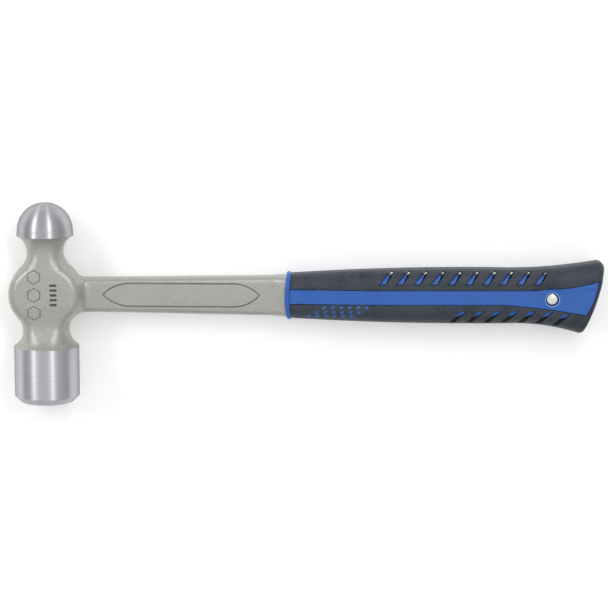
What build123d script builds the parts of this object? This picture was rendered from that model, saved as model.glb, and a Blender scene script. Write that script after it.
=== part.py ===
from build123d import *
import math
import os

# One-piece ball peen hammer, lying on its side.
# While it is drawn, X runs from the head's axis to the butt, Y from the handle's axis to the ball,
# and Z is the thickness, with the mid-plane at Z = 0. At the end every piece moves so that the
# origin is the bottom centre of the whole hammer's box. Lengths are millimetres.

# Head
BALL_R = 15.7
BALL_Y = 36.94
BALL_RIM_R = 15.98
BALL_RIM_Y = 34.03
BALL_RIM_H = 0.4  # straight band at the ball's rim
UPPER_WAIST_R = 10.06
UPPER_WAIST_Y = 24.72
UPPER_WAIST_T = 22.2
CHEEK_R = 20.4
CHEEK_Y = 1.13
CHEEK_T = 24.6
CHEEK_SQUARENESS = 5.0  # exponent of its oval section: 2 is an ellipse, more is squarer
SECTION_POINTS = 16
HEAD_STATIONS = 9  # lofted steps between the two waists
NECK_SHARES = (0.36, 0.7, 1.0)  # where the sections of a neck's flare are, from waist to rim
LOWER_WAIST_R = 12.78
LOWER_WAIST_Y = -19.65
LOWER_WAIST_T = 23.6
POLL_R = 18.33
POLL_TOP_Y = -28.58
POLL_FACE_Y = -60.72
POLL_CHAMFER = 3.76
TURNED_STEP = 0.2  # the turned ball and poll stand this far proud of the forged necks

# Shank, from the head to the collar
SHANK_X = 31.02
SHANK_TOP = 10.25
SHANK_BOTTOM = -9.12
SHANK_END_TOP = 11.28
SHANK_END_BOTTOM = -11.37
SHANK_T = 11.28
SHANK_CORNER_R = 2.82
TOP_FILLET_R = 7.52
SHANK_ROOT_X = 15.5  # where the shank leaves the cheek
SHANK_ROOT_GROWTH = 2.8  # how much thicker half the shank is there
SHANK_ROOT_SHARES = (0.0, 0.25, 0.55, 1.0)  # where the sections of its root are
BAY_R = 10.53  # the round bay between the lower neck and the shank

# Leaf outline, engraved on both faces of the shank
LEAF_START_X = 32.5
LEAF_END_X = 120.4
LEAF_SIDE_START_X = 48.03
LEAF_SIDE_END_X = 105.56
LEAF_Y = 0.8
LEAF_HALF_H = 6.55
LEAF_ARC_SHARE = 0.66  # height of the pointed ends' arcs at their middle, as a share
LEAF_START_BULGE = 1.4
LEAF_END_BULGE = 1.2
LEAF_GROOVE_W = 0.85
LEAF_GROOVE_D = 0.4

# Tang, inside the grip
TANG_T = 7.52
TANG_TOP = 9.87
TANG_RIB_TOP = 14.01
TANG_RIB_START_X = 186.12
TANG_RIB_END_X = 282.0
TANG_BOTTOM = -8.93
TANG_END_X = 297.04
TANG_START_RAMP = 12.0
TANG_END_RAMP = 7.0
TANG_END_CUT = 3.0  # how far its top drops from the rib to its end
TANG_OVERLAP = 2.0  # how far it reaches back into the shank

# Grip
COLLAR_START_X = 134.6
COLLAR_END_X = 137.4
COLLAR_H = 27.1
COLLAR_T = 23.6
COLLAR_CORNER_R = 8.0
COLLAR_EDGE_R = 0.9
GRIP_T = 22.4
GRIP_EDGE_R = 8.0
GRIP_START_H = 26.3
GRIP_TOP_ARC = [(186.0, 15.4), (252.0, 16.1)]  # a point on the crown, and where it ends
GRIP_TOP_FLARE = [(288.0, 17.2), (322.0, 22.6)]
GRIP_BOTTOM_ARC = [(186.0, -15.4), (260.0, -16.2)]
GRIP_BOTTOM_FLARE = [(288.0, -18.6), (322.0, -31.5)]
BUTT_X = 313.5
BUTT_ARC = [(294.8, -32.0), (308.7, -5.1), (BUTT_X, 14.2)]
BUTT_CORNER_ARC = [(312.4, 18.2), (307.8, 20.6)]
BUTT_EDGE_R = 1.9
COVER_T = 1.7  # thickness of the overmould on the grip's sides
CORE_TOP = 12.6
CORE_BOTTOM = -11.1

# Side stripe of the core, flush with the overmould
STRIPE_HALF_H = 3.99
STRIPE_UPPER = [(273.54, STRIPE_HALF_H), (282.94, 4.89), (291.4, 5.26), (300.8, 6.77), (310.2, 9.02)]
STRIPE_LOWER = [(256.0, -STRIPE_HALF_H), (268.0, -4.75), (280.0, -6.1), (292.0, -7.8), (303.62, -9.87)]
STRIPE_END_MID = (308.23, -0.19)

# Vents through the overmould, with inserts of the core in them
VENT_PITCH = 9.62
INSERT_DROP = 0.9  # the inserts lie this far below the grip's surface
UPPER_VENTS = 10
UPPER_VENT_X = 187.4
UPPER_VENT_Y = 7.14
UPPER_VENT_TOP = 14.57
UPPER_VENT_W = 3.3
UPPER_VENT_TOP_W = 2.2
UPPER_VENT_LEAN = 6.1
UPPER_INSERT_TOP_W = 2.0
LOWER_VENTS = 7
LOWER_VENT_X = 233.4
LOWER_VENT_Y = -7.43
LOWER_VENT_BOTTOM = -14.9
LOWER_VENT_W = 3.4
LOWER_VENT_BOTTOM_W = 2.1
LOWER_VENT_LEAN = -6.9
LOWER_VENT_DROPS = [0.0, 0.0, 0.0, 0.0, 0.09, 0.56, 1.69]  # the last ones follow the flare
LOWER_INSERT_H = 3.76
LOWER_INSERT_END_W = 2.4

# Flush marks of the core, in slanted rows
DOT_PITCH = 4.76
DOT_COUNT = 6
DOT_W = 1.6
DOT_H = 1.5
DOT_LEAN = 1.07
DOT_ROWS = [(155.4, -5.4), (151.1, -8.2), (146.8, -10.55)]

# Pin
PIN_X = 284.44
PIN_Y = -0.85
PIN_R = 3.15
PIN_EDGE_Z = 10.2
PIN_DOME = 0.42
PIN_RECESS_R = 3.7
PIN_RECESS_FLOOR_Z = 9.0
PIN_LIP_R = 4.25
PIN_LIP_DEPTH = 0.3

THROUGH = 60.0  # half length of a cutter that passes through everything
CUTTER_RISE = 3.0  # how far a shallow cutter stands above the surface

ORIGIN_SHIFT = Location(
    ((CHEEK_R - BUTT_X) / 2, -(BALL_Y + BALL_R + POLL_FACE_Y) / 2, POLL_R)
)


def arc_bend(waist, edge, rise):
    """Radius of an arc that is upright at the waist and passes edge, rise above it."""
    return ((edge - waist) ** 2 + rise**2) / (2 * (edge - waist))


def tangent_bend(waist, rise):
    """Radius of a neck arc that is upright at the waist and touches the cheek's circle."""
    return (waist**2 + rise**2 - CHEEK_R**2) / (2 * (CHEEK_R - waist))


def flare(waist, bend, rise):
    return waist + bend - math.sqrt(bend**2 - rise**2)


NECK_EDGE_R = BALL_RIM_R - TURNED_STEP
POLL_NECK_R = POLL_R - TURNED_STEP
BALL_NECK_BEND = arc_bend(UPPER_WAIST_R, NECK_EDGE_R, BALL_RIM_Y - UPPER_WAIST_Y)
POLL_NECK_BEND = arc_bend(LOWER_WAIST_R, POLL_NECK_R, LOWER_WAIST_Y - POLL_TOP_Y)
UPPER_CHEEK_BEND = tangent_bend(UPPER_WAIST_R, UPPER_WAIST_Y - CHEEK_Y)
LOWER_CHEEK_BEND = tangent_bend(LOWER_WAIST_R, CHEEK_Y - LOWER_WAIST_Y)
UPPER_TOUCH_Y = CHEEK_Y + (UPPER_WAIST_Y - CHEEK_Y) * CHEEK_R / (CHEEK_R + UPPER_CHEEK_BEND)
LOWER_TOUCH_Y = CHEEK_Y - (CHEEK_Y - LOWER_WAIST_Y) * CHEEK_R / (CHEEK_R + LOWER_CHEEK_BEND)


def head_half_width(y):
    """Half the forged head's width in X: neck arcs that touch the cheek's circle."""
    if y > UPPER_WAIST_Y:
        return flare(UPPER_WAIST_R, BALL_NECK_BEND, y - UPPER_WAIST_Y)
    if y > UPPER_TOUCH_Y:
        return flare(UPPER_WAIST_R, UPPER_CHEEK_BEND, UPPER_WAIST_Y - y)
    if y > LOWER_TOUCH_Y:
        return math.sqrt(CHEEK_R**2 - (y - CHEEK_Y) ** 2)
    if y > LOWER_WAIST_Y:
        return flare(LOWER_WAIST_R, LOWER_CHEEK_BEND, y - LOWER_WAIST_Y)
    return flare(LOWER_WAIST_R, POLL_NECK_BEND, LOWER_WAIST_Y - y)


def head_half_thickness(y):
    """Half the forged head's thickness in Z: flared at the necks' ends, flat at the cheek."""
    upper = UPPER_WAIST_T / 2
    lower = LOWER_WAIST_T / 2
    if y > UPPER_WAIST_Y:
        bend = arc_bend(upper, NECK_EDGE_R, BALL_RIM_Y - UPPER_WAIST_Y)
        return flare(upper, bend, y - UPPER_WAIST_Y)
    if y > CHEEK_Y:
        return min(head_half_width(y) - UPPER_WAIST_R + upper, CHEEK_T / 2)
    if y > LOWER_WAIST_Y:
        return min(head_half_width(y) - LOWER_WAIST_R + lower, CHEEK_T / 2)
    bend = arc_bend(lower, POLL_NECK_R, LOWER_WAIST_Y - POLL_TOP_Y)
    return flare(lower, bend, LOWER_WAIST_Y - y)


def head_squareness(y):
    """Exponent of the head's oval section: 2 is an ellipse at the necks' ends, more is squarer."""
    share = 1.0
    if LOWER_WAIST_Y < y < UPPER_WAIST_Y:
        waist_y = UPPER_WAIST_Y if y > CHEEK_Y else LOWER_WAIST_Y
        share = abs(y - CHEEK_Y) / abs(waist_y - CHEEK_Y)
    return CHEEK_SQUARENESS + (2.0 - CHEEK_SQUARENESS) * share**2


def oval(half_width, half_thickness, squareness):
    """A closed smooth outline between an ellipse and a rectangle."""
    points = []
    for i in range(SECTION_POINTS):
        angle = 2 * math.pi * i / SECTION_POINTS
        across = math.cos(angle)
        along = math.sin(angle)
        x = half_width * math.copysign(abs(across) ** (2 / squareness), across)
        y = half_thickness * math.copysign(abs(along) ** (2 / squareness), along)
        points.append((x, y))
    return make_face(Spline(*points, periodic=True))


def forged_head():
    """The two necks and the cheek between them, lofted along Y."""
    stations = []
    for share in reversed(NECK_SHARES):
        stations.append(UPPER_WAIST_Y + share * (BALL_RIM_Y - UPPER_WAIST_Y))
    step = (UPPER_WAIST_Y - LOWER_WAIST_Y) / HEAD_STATIONS
    for i in range(HEAD_STATIONS + 1):
        stations.append(UPPER_WAIST_Y - step * i)
    for share in NECK_SHARES:
        stations.append(LOWER_WAIST_Y + share * (POLL_TOP_Y - LOWER_WAIST_Y))
    sections = []
    for y in stations:
        plane = Plane(origin=(0, y, 0), x_dir=(1, 0, 0), z_dir=(0, -1, 0))
        outline = oval(head_half_width(y), head_half_thickness(y), head_squareness(y))
        sections.append(plane * outline)
    return loft(sections)


def turned(profile):
    """A solid turned about the head's axis from a closed profile in the XY plane."""
    return revolve(make_face(profile), Axis.Y)


def ball():
    diagonal = BALL_R * math.sqrt(0.5)
    profile = [
        ThreePointArc(
            (0, BALL_Y + BALL_R), (diagonal, BALL_Y + diagonal), (BALL_R, BALL_Y)
        ),
        Polyline(
            (BALL_R, BALL_Y),
            (BALL_RIM_R, BALL_RIM_Y + BALL_RIM_H),
            (BALL_RIM_R, BALL_RIM_Y),
            (0, BALL_RIM_Y),
            (0, BALL_Y + BALL_R),
        ),
    ]
    return turned(profile)


def poll():
    profile = Polyline(
        (0, POLL_TOP_Y),
        (POLL_R, POLL_TOP_Y),
        (POLL_R, POLL_FACE_Y + POLL_CHAMFER),
        (POLL_R - POLL_CHAMFER, POLL_FACE_Y),
        (0, POLL_FACE_Y),
        (0, POLL_TOP_Y),
    )
    return turned(profile)


def shank_top(x):
    """The shank's top edge, with the round fillet that joins it to the cheek."""
    centre_x = math.sqrt(
        (CHEEK_R + TOP_FILLET_R) ** 2 - (SHANK_TOP - CHEEK_Y + TOP_FILLET_R) ** 2
    )
    rise = 0.0
    if x < centre_x:
        rise = TOP_FILLET_R - math.sqrt(TOP_FILLET_R**2 - (centre_x - x) ** 2)
    slope = (SHANK_END_TOP - SHANK_TOP) / (COLLAR_START_X - SHANK_X)
    return SHANK_TOP + rise + max(0.0, x - SHANK_X) * slope


def shank_bottom(x):
    """The shank's bottom edge, with the round bay that joins it to the lower neck."""
    centre_x = LOWER_WAIST_R + BAY_R
    drop = 0.0
    if x < centre_x:
        drop = BAY_R - math.sqrt(BAY_R**2 - (centre_x - x) ** 2)
    slope = (SHANK_END_BOTTOM - SHANK_BOTTOM) / (COLLAR_START_X - SHANK_X)
    return SHANK_BOTTOM - drop + max(0.0, x - SHANK_X) * slope


def upright_section(x, top, bottom, half_t, corner):
    """A rounded rectangle across the handle at X."""
    plane = Plane(origin=(x, (top + bottom) / 2, 0), x_dir=(0, 1, 0), z_dir=(1, 0, 0))
    return plane * RectangleRounded(top - bottom, 2 * half_t, corner)


def shank():
    """The blade between the head and the collar, thicker and taller where it meets the head."""
    fillet_end_x = LOWER_WAIST_R + BAY_R
    root_run = fillet_end_x - SHANK_ROOT_X
    root_sections = []
    for share in SHANK_ROOT_SHARES:
        x = SHANK_ROOT_X + share * root_run
        half_t = SHANK_T / 2 + SHANK_ROOT_GROWTH * (1 - share) ** 2
        section = upright_section(x, shank_top(x), shank_bottom(x), half_t, SHANK_CORNER_R)
        root_sections.append(section)
    blade_sections = [root_sections[-1]]
    for x in (SHANK_X, COLLAR_START_X):
        section = upright_section(x, shank_top(x), shank_bottom(x), SHANK_T / 2, SHANK_CORNER_R)
        blade_sections.append(section)
    stub = extrude(root_sections[0], -SHANK_ROOT_X)
    return stub + loft(root_sections) + loft(blade_sections, ruled=True)


def tang():
    """The flat bar inside the grip, with a rib along its top that shows in the vents."""
    start_x = COLLAR_START_X - TANG_OVERLAP
    outline = Polyline(
        (start_x, TANG_BOTTOM),
        (TANG_END_X, TANG_BOTTOM),
        (TANG_END_X, TANG_TOP - TANG_END_CUT),
        (TANG_RIB_END_X + TANG_END_RAMP, TANG_TOP),
        (TANG_RIB_END_X, TANG_RIB_TOP),
        (TANG_RIB_START_X, TANG_RIB_TOP),
        (TANG_RIB_START_X - TANG_START_RAMP, TANG_TOP),
        (start_x, TANG_TOP),
        (start_x, TANG_BOTTOM),
    )
    return extrude(make_face(outline), TANG_T / 2, both=True)


def leaf(inset):
    """The leaf shape on the shank, its outline moved inwards by inset."""
    half_h = LEAF_HALF_H - inset
    arc_h = half_h * LEAF_ARC_SHARE
    start_mid_x = (LEAF_START_X + LEAF_SIDE_START_X) / 2 - LEAF_START_BULGE
    end_mid_x = (LEAF_END_X + LEAF_SIDE_END_X) / 2 + LEAF_END_BULGE
    start = (LEAF_START_X + math.sqrt(2) * inset, 0)
    end = (LEAF_END_X - math.sqrt(2) * inset, 0)
    side_start = (LEAF_SIDE_START_X, half_h)
    side_end = (LEAF_SIDE_END_X, half_h)
    upper = [
        ThreePointArc(start, (start_mid_x, arc_h), side_start),
        Line(side_start, side_end),
        ThreePointArc(side_end, (end_mid_x, arc_h), end),
    ]
    lower = [mirror(edge, Plane.XZ) for edge in upper]
    return make_face(upper + lower)


def leaf_grooves():
    ring = leaf(-LEAF_GROOVE_W / 2) - leaf(LEAF_GROOVE_W / 2)
    floor_z = SHANK_T / 2 - LEAF_GROOVE_D
    front = Pos(0, LEAF_Y, floor_z) * extrude(ring, CUTTER_RISE)
    return front + mirror(front, Plane.XY)


def pin_hole(radius):
    return Pos(PIN_X, PIN_Y, 0) * Cylinder(radius, 2 * THROUGH)


def head_and_shank():
    """The one steel forging: ball, necks, cheek, poll, shank and the tang inside the grip."""
    steel = forged_head() + ball() + poll() + shank() + tang()
    return steel - leaf_grooves() - pin_hole(PIN_R)


def grip_body(inset):
    """The grip's outer shape, drawn in by inset on every side."""
    start_x = COLLAR_END_X
    start_y = GRIP_START_H / 2 - inset
    top = [(x, y - inset) for x, y in GRIP_TOP_ARC + GRIP_TOP_FLARE]
    bottom = [(x, y + inset) for x, y in GRIP_BOTTOM_ARC + GRIP_BOTTOM_FLARE]
    outline = [
        ThreePointArc((start_x, start_y), top[0], top[1]),
        ThreePointArc(top[1], top[2], top[3]),
        Line(top[3], bottom[3]),
        ThreePointArc(bottom[3], bottom[2], bottom[1]),
        ThreePointArc(bottom[1], bottom[0], (start_x, -start_y)),
        Line((start_x, -start_y), (start_x, start_y)),
    ]
    half_t = GRIP_T / 2 - inset
    body = extrude(make_face(outline), half_t, both=True)
    long_edges = [edge for edge in body.edges() if edge.geom_type == GeomType.CIRCLE]
    return fillet(long_edges, GRIP_EDGE_R - inset) & butt_prism(inset)


def butt_prism(inset):
    """Everything on the head's side of the slanted butt end."""
    low, middle, high = [(x - inset, y) for x, y in BUTT_ARC]
    corner_middle, corner_top = [(x - inset, y - inset) for x, y in BUTT_CORNER_ARC]
    outline = [
        ThreePointArc(low, middle, high),
        ThreePointArc(high, corner_middle, corner_top),
        Polyline(
            corner_top,
            (corner_top[0], THROUGH),
            (COLLAR_END_X, THROUGH),
            (COLLAR_END_X, -THROUGH),
            (low[0], -THROUGH),
            low,
        ),
    ]
    return extrude(make_face(outline), THROUGH, both=True)


def outer_grip():
    """The grip's outer shape with its butt edge rounded."""
    body = grip_body(0.0)
    end_face = body.faces().sort_by(Axis.X)[-1]
    return fillet(end_face.edges(), BUTT_EDGE_R)


def prism(points):
    """A prism through the whole thickness, over the polygon of these points."""
    return extrude(make_face(Polyline(*points, points[0])), THROUGH, both=True)


def stripe():
    outline = [
        Line((COLLAR_END_X, -STRIPE_HALF_H), (COLLAR_END_X, STRIPE_HALF_H)),
        Line((COLLAR_END_X, STRIPE_HALF_H), STRIPE_UPPER[0]),
        Spline(*STRIPE_UPPER, tangents=[(1, 0), (1, 0.22)]),
        ThreePointArc(STRIPE_UPPER[-1], STRIPE_END_MID, STRIPE_LOWER[-1]),
        Spline(*STRIPE_LOWER, tangents=[(1, 0), (1, -0.26)]),
        Line(STRIPE_LOWER[0], (COLLAR_END_X, -STRIPE_HALF_H)),
    ]
    return extrude(make_face(outline), THROUGH, both=True)


def upper_slot(i, end_y, end_width):
    """Slot i of the upper row, from its wide inner end to a narrower end at end_y."""
    x = UPPER_VENT_X + VENT_PITCH * i
    lean = UPPER_VENT_LEAN * (end_y - UPPER_VENT_Y) / (UPPER_VENT_TOP - UPPER_VENT_Y)
    return prism(
        [
            (x, UPPER_VENT_Y),
            (x + UPPER_VENT_W, UPPER_VENT_Y),
            (x + lean + end_width, end_y),
            (x + lean, end_y),
        ]
    )


def lower_slot(i, height, end_width):
    """Slot i of the lower row, from its inner end, height downwards to a narrower end."""
    x = LOWER_VENT_X + VENT_PITCH * i
    y = LOWER_VENT_Y - LOWER_VENT_DROPS[i]
    lean = LOWER_VENT_LEAN * height / (LOWER_VENT_Y - LOWER_VENT_BOTTOM)
    return prism(
        [
            (x, y),
            (x + LOWER_VENT_W, y),
            (x + lean + end_width, y - height),
            (x + lean, y - height),
        ]
    )


def vents():
    full_height = LOWER_VENT_Y - LOWER_VENT_BOTTOM
    slots = []
    for i in range(UPPER_VENTS):
        slots.append(upper_slot(i, UPPER_VENT_TOP, UPPER_VENT_TOP_W))
    for i in range(LOWER_VENTS):
        slots.append(lower_slot(i, full_height, LOWER_VENT_BOTTOM_W))
    return Part() + slots


def inserts():
    slots = []
    for i in range(UPPER_VENTS):
        slots.append(upper_slot(i, CORE_TOP, UPPER_INSERT_TOP_W))
    for i in range(LOWER_VENTS):
        slots.append(lower_slot(i, LOWER_INSERT_H, LOWER_INSERT_END_W))
    return Part() + slots


def dots():
    shapes = []
    for start_x, y in DOT_ROWS:
        for i in range(DOT_COUNT):
            x = start_x + DOT_PITCH * i
            low_y = y - DOT_H / 2
            high_y = y + DOT_H / 2
            shapes.append(
                prism(
                    [
                        (x, low_y),
                        (x + DOT_W, low_y),
                        (x + DOT_W + DOT_LEAN, high_y),
                        (x + DOT_LEAN, high_y),
                    ]
                )
            )
    return Part() + shapes


def collar():
    outline = upright_section(
        COLLAR_START_X, COLLAR_H / 2, -COLLAR_H / 2, COLLAR_T / 2, COLLAR_CORNER_R
    )
    block = extrude(outline, COLLAR_END_X - COLLAR_START_X)
    ends = block.faces().sort_by(Axis.X)
    return fillet(ends[0].edges(), COLLAR_EDGE_R)


def full_core(outer):
    """The core before its holes: body, side stripe, inserts, dots and collar."""
    band_x = (COLLAR_END_X + BUTT_X) / 2
    band = Pos(band_x, (CORE_TOP + CORE_BOTTOM) / 2, 0)
    band *= Box(BUTT_X - COLLAR_END_X, CORE_TOP - CORE_BOTTOM, THROUGH)
    core = (grip_body(COVER_T) & band) + (outer & stripe())
    core += grip_body(INSERT_DROP) & inserts()
    core += outer & dots()
    return core + collar()


def pin_recess():
    """The counterbore at one end of the pin, with a sloped lip at its mouth."""
    surface_z = GRIP_T / 2
    top_z = surface_z + CUTTER_RISE
    lip_slope = (PIN_LIP_R - PIN_RECESS_R) / PIN_LIP_DEPTH
    profile = Polyline(
        (0, PIN_RECESS_FLOOR_Z),
        (PIN_RECESS_R, PIN_RECESS_FLOOR_Z),
        (PIN_RECESS_R, surface_z - PIN_LIP_DEPTH),
        (PIN_LIP_R + lip_slope * CUTTER_RISE, top_z),
        (0, top_z),
        (0, PIN_RECESS_FLOOR_Z),
    )
    cut = revolve(Plane.XZ * make_face(profile), Axis.Z)
    return Pos(PIN_X, PIN_Y, 0) * (cut + mirror(cut, Plane.XY))


def pin():
    """A straight pin with a shallow dome at each end."""
    dome_r = (PIN_R**2 + PIN_DOME**2) / (2 * PIN_DOME)
    half_x = PIN_R / 2
    half_z = PIN_EDGE_Z + PIN_DOME - dome_r + math.sqrt(dome_r**2 - half_x**2)
    top = (0, PIN_EDGE_Z + PIN_DOME)
    edge = (PIN_R, PIN_EDGE_Z)
    profile = [
        ThreePointArc(top, (half_x, half_z), edge),
        Polyline(edge, (PIN_R, 0), (0, 0), top),
    ]
    half = revolve(Plane.XZ * make_face(profile), Axis.Z)
    return Pos(PIN_X, PIN_Y, 0) * (half + mirror(half, Plane.XY))


def build():
    steel = head_and_shank()
    outer = outer_grip()
    solid_core = full_core(outer)
    grip_core = solid_core - steel - pin_hole(PIN_R) - pin_recess()
    overmould = outer - solid_core - vents() - steel
    return {
        "forged_head_and_shank": steel,
        "grip_core": grip_core,
        "grip_overmould": overmould,
        "grip_pin": pin(),
    }


os.makedirs("parts", exist_ok=True)
for name, shape in build().items():
    placed = ORIGIN_SHIFT * shape
    export_step(placed, f"parts/{name}.step")
    print(name, len(shape.solids()), round(shape.volume, 1))
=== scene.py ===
from math import cos, hypot, pi, radians, sin, sqrt, tan

import bpy
import numpy as np
from mathutils import Matrix, Vector


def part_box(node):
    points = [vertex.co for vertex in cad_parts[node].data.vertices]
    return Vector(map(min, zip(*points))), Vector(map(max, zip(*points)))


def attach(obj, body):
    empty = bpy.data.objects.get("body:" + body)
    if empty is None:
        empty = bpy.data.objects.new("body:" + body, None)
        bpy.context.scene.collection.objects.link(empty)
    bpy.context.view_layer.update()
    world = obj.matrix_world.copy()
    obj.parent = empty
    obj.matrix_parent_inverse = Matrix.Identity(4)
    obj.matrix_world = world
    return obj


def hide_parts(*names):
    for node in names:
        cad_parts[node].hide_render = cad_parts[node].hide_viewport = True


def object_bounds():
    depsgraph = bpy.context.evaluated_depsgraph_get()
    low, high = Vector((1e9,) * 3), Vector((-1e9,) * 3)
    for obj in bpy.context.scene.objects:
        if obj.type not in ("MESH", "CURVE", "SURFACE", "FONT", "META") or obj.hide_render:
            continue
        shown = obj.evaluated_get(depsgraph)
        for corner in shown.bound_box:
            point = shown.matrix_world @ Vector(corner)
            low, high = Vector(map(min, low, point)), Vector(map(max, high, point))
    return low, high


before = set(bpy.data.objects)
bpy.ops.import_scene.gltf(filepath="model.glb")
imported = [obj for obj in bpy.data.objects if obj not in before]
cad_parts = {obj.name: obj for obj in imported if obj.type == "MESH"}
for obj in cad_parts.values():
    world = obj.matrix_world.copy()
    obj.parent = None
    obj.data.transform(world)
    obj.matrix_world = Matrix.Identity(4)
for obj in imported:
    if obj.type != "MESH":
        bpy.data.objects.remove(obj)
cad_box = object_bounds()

# Ball peen hammer, lying on its side on a pale floor.
# Shapes are drawn in millimetres: X from the head's axis to the butt, Y from the handle's axis to
# the ball, Z from the mid-plane of the thickness. place() moves them into the frame, in metres.
# A name with FADE in it holds the ends of a range over which something changes smoothly.

MM = 0.001

# Ball
BALL_R = 15.7
BALL_Y = 36.94
BALL_RIM_R = 15.98
BALL_RIM_Y = 34.03
BALL_RIM_H = 0.8
BALL_RIM_EDGE = 0.15
BALL_RIM_TAPER = 0.02
BALL_STEPS = 72

# Forged part of the head
UPPER_WAIST_R = 10.06
UPPER_WAIST_Y = 24.72
UPPER_WAIST_T = 22.2
UPPER_TAPER_Y = 8.0
CHEEK_R = 20.4
CHEEK_Y = 1.13
CHEEK_T = 24.6
CHEEK_CORNER_R = 5.0
LOWER_TAPER_Y = -4.0
LOWER_WAIST_R = 12.78
LOWER_WAIST_Y = -19.65
LOWER_WAIST_T = 23.4
LOWER_WAIST_T_Y = -14.5
NECK_CORNER_R = 8.0
NECK_CORNER_FADE = (0.3, 1.0)
NECK_ROUND_FADE = (-0.1, 0.95)
NECK_ROUND_SHARE = 0.99
NECK_OVERLAP = 0.3
HEAD_CROWN = 0.8
HEAD_CROWN_REACH = 1.2

# Poll
POLL_R = 18.33
POLL_TOP_Y = -28.58
POLL_FACE_Y = -60.72
POLL_CHAMFER = 3.76
FACE_EDGE_START = 0.6
FACE_EDGE_W = 0.85
FACE_EDGE_D = 0.25
FACE_EDGE_STEPS = 6
SIDE_EDGE_W = 0.25
SIDE_EDGE_H = 0.3
SIDE_EDGE_BREAK = 0.06
POLL_SIDE_RINGS = 9
TOP_EDGE_W = 0.2
TOP_EDGE_H = 0.25
TURNED_STEP = 0.2
TURNED_SIDES = 192

# Shank
SHANK_X = 31.0
SHANK_TOP = 10.25
SHANK_BOTTOM = -9.12
SHANK_END_TOP = 11.28
SHANK_END_BOTTOM = -11.37
SHANK_T = 11.28
SHANK_CORNER_R = 3.2
SHANK_CROWN = 0.3
SHANK_ROOT_START_X = 8.0
SHANK_ROOT_END_X = 22.5
SHANK_ROOT_RUN = 8.0
SHANK_ROOT_GROWTH = 2.4
SHANK_SWELL = 2.9
SHANK_SWELL_START_X = 126.5
SHANK_SWELL_IN_COLLAR = 2.0
SHANK_END_IN_COLLAR = 1.5
ROOT_FILLET = 6.0
ROOT_FILLET_MIN = 0.4
ROOT_FADE_X = (9.0, 17.0)
ROOT_FADE_Z = (1.0, 5.5)
ROOT_FADE_EDGE = (-1.0, 3.5)
TOP_FILLET_R = 7.52
BAY_R = 10.53

# Leaf outline engraved on the shank
LEAF_START_X = 32.5
LEAF_END_X = 120.4
LEAF_SIDE_START_X = 48.0
LEAF_SIDE_END_X = 105.6
LEAF_HALF_H = 6.55
LEAF_START_Y = 1.1
LEAF_END_Y = 0.5
LEAF_GROOVE_W = 0.95
LEAF_GROOVE_D = 0.5
LEAF_ZONE_X = 25.0
LEAF_ZONE_Z = 4.5
GROOVE_FLOOR_SHARE = 0.15

# Three plain hexagons engraved on the front cheek
MARK_X = -5.6
MARK_Y = 1.6
MARK_PITCH = 10.2
MARK_R = 3.9
MARK_GROOVE_W = 0.8
MARK_GROOVE_D = 0.4
MARK_ZONE_W = 7.0
MARK_ZONE_X = 15.0
MARK_ZONE_Z = 9.0

# Printed bars beside them
BAR_X = 5.2
BAR_Y = 1.8
BAR_COUNT = 5
BAR_PITCH = 2.75
BAR_L = 3.9
BAR_W = 1.35
BAR_RAISE = 0.03
BAR_COLUMNS = 8
BAR_ROWS = 4

# Collar and grip
COLLAR_START_X = 134.6
COLLAR_END_X = 137.2
COLLAR_BOW = 1.3
COLLAR_BOW_REACH = 1.2
COLLAR_H = 26.0
COLLAR_T = 23.4
COLLAR_EDGE_R = 1.1
GRIP_T = 22.4
GRIP_START_T = 20.8
GRIP_FULL_T_X = 205.0
GRIP_CORNER_R = 8.0
GRIP_CROWN = 0.35
GRIP_TOP_ARCS = [(137.5, 12.55), (186.0, 14.8), (252.0, 15.5), (288.0, 16.6), (322.0, 22.0)]
GRIP_BOTTOM_ARCS = [(137.5, -12.55), (186.0, -14.7), (260.0, -15.5), (288.0, -17.9), (322.0, -30.8)]
GRIP_LOWEST_Y = -22.5
GRIP_HIGHEST_Y = 21.0
BUTT_X = 313.5
BUTT_ARC = [(294.8, -32.0), (308.7, -5.1), (BUTT_X, 13.6)]
BUTT_EDGE_R = 1.9
BUTT_TOP_CORNER_R = 5.2
BUTT_CORNER_FADE_Y = (6.0, 14.0)
PANEL_END_X = 279.5
PANEL_END_Y = 4.0
PANEL_LEAN = 0.45
PANEL_STEP = 0.35
PANEL_STEP_W = 3.5
PANEL_STEP_FADE_Y = (2.5, 6.0)
COVER_T = 1.7
COVER_EDGE_R = 0.25
# Depths in mm over which the overmould darkens to painted shade in its vents and grooves
COVER_SHADE_FADE = (0.3, 1.1)
CORE_TOP = 12.6
CORE_BOTTOM = -11.1
# Depths in mm over which the core darkens to painted shade in its moats and grooves
CORE_SHADE_FADE = (1.45, 1.75)

# Side stripe of the core
STRIPE_UPPER = [(273.5, 3.99), (282.9, 4.89), (291.4, 5.26), (300.8, 6.77), (310.2, 9.02)]
STRIPE_LOWER = [(256.0, -3.95), (268.0, -4.75), (280.0, -6.1), (292.0, -7.8), (303.6, -9.87)]
STRIPE_END_ARC = [(303.62, -9.87), (308.23, -0.19), (310.2, 9.02)]
STRIPE_ROOT_W = 0.8
STRIPE_ROOT_RUN = 1.4
STRIPE_GAP = 0.32
STRIPE_PROUD = 0.05
STRIPE_EDGE_R = 0.35
STRIPE_DRIFT = 0.5
STRIPE_DRIFT_END_X = 185.0

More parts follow.
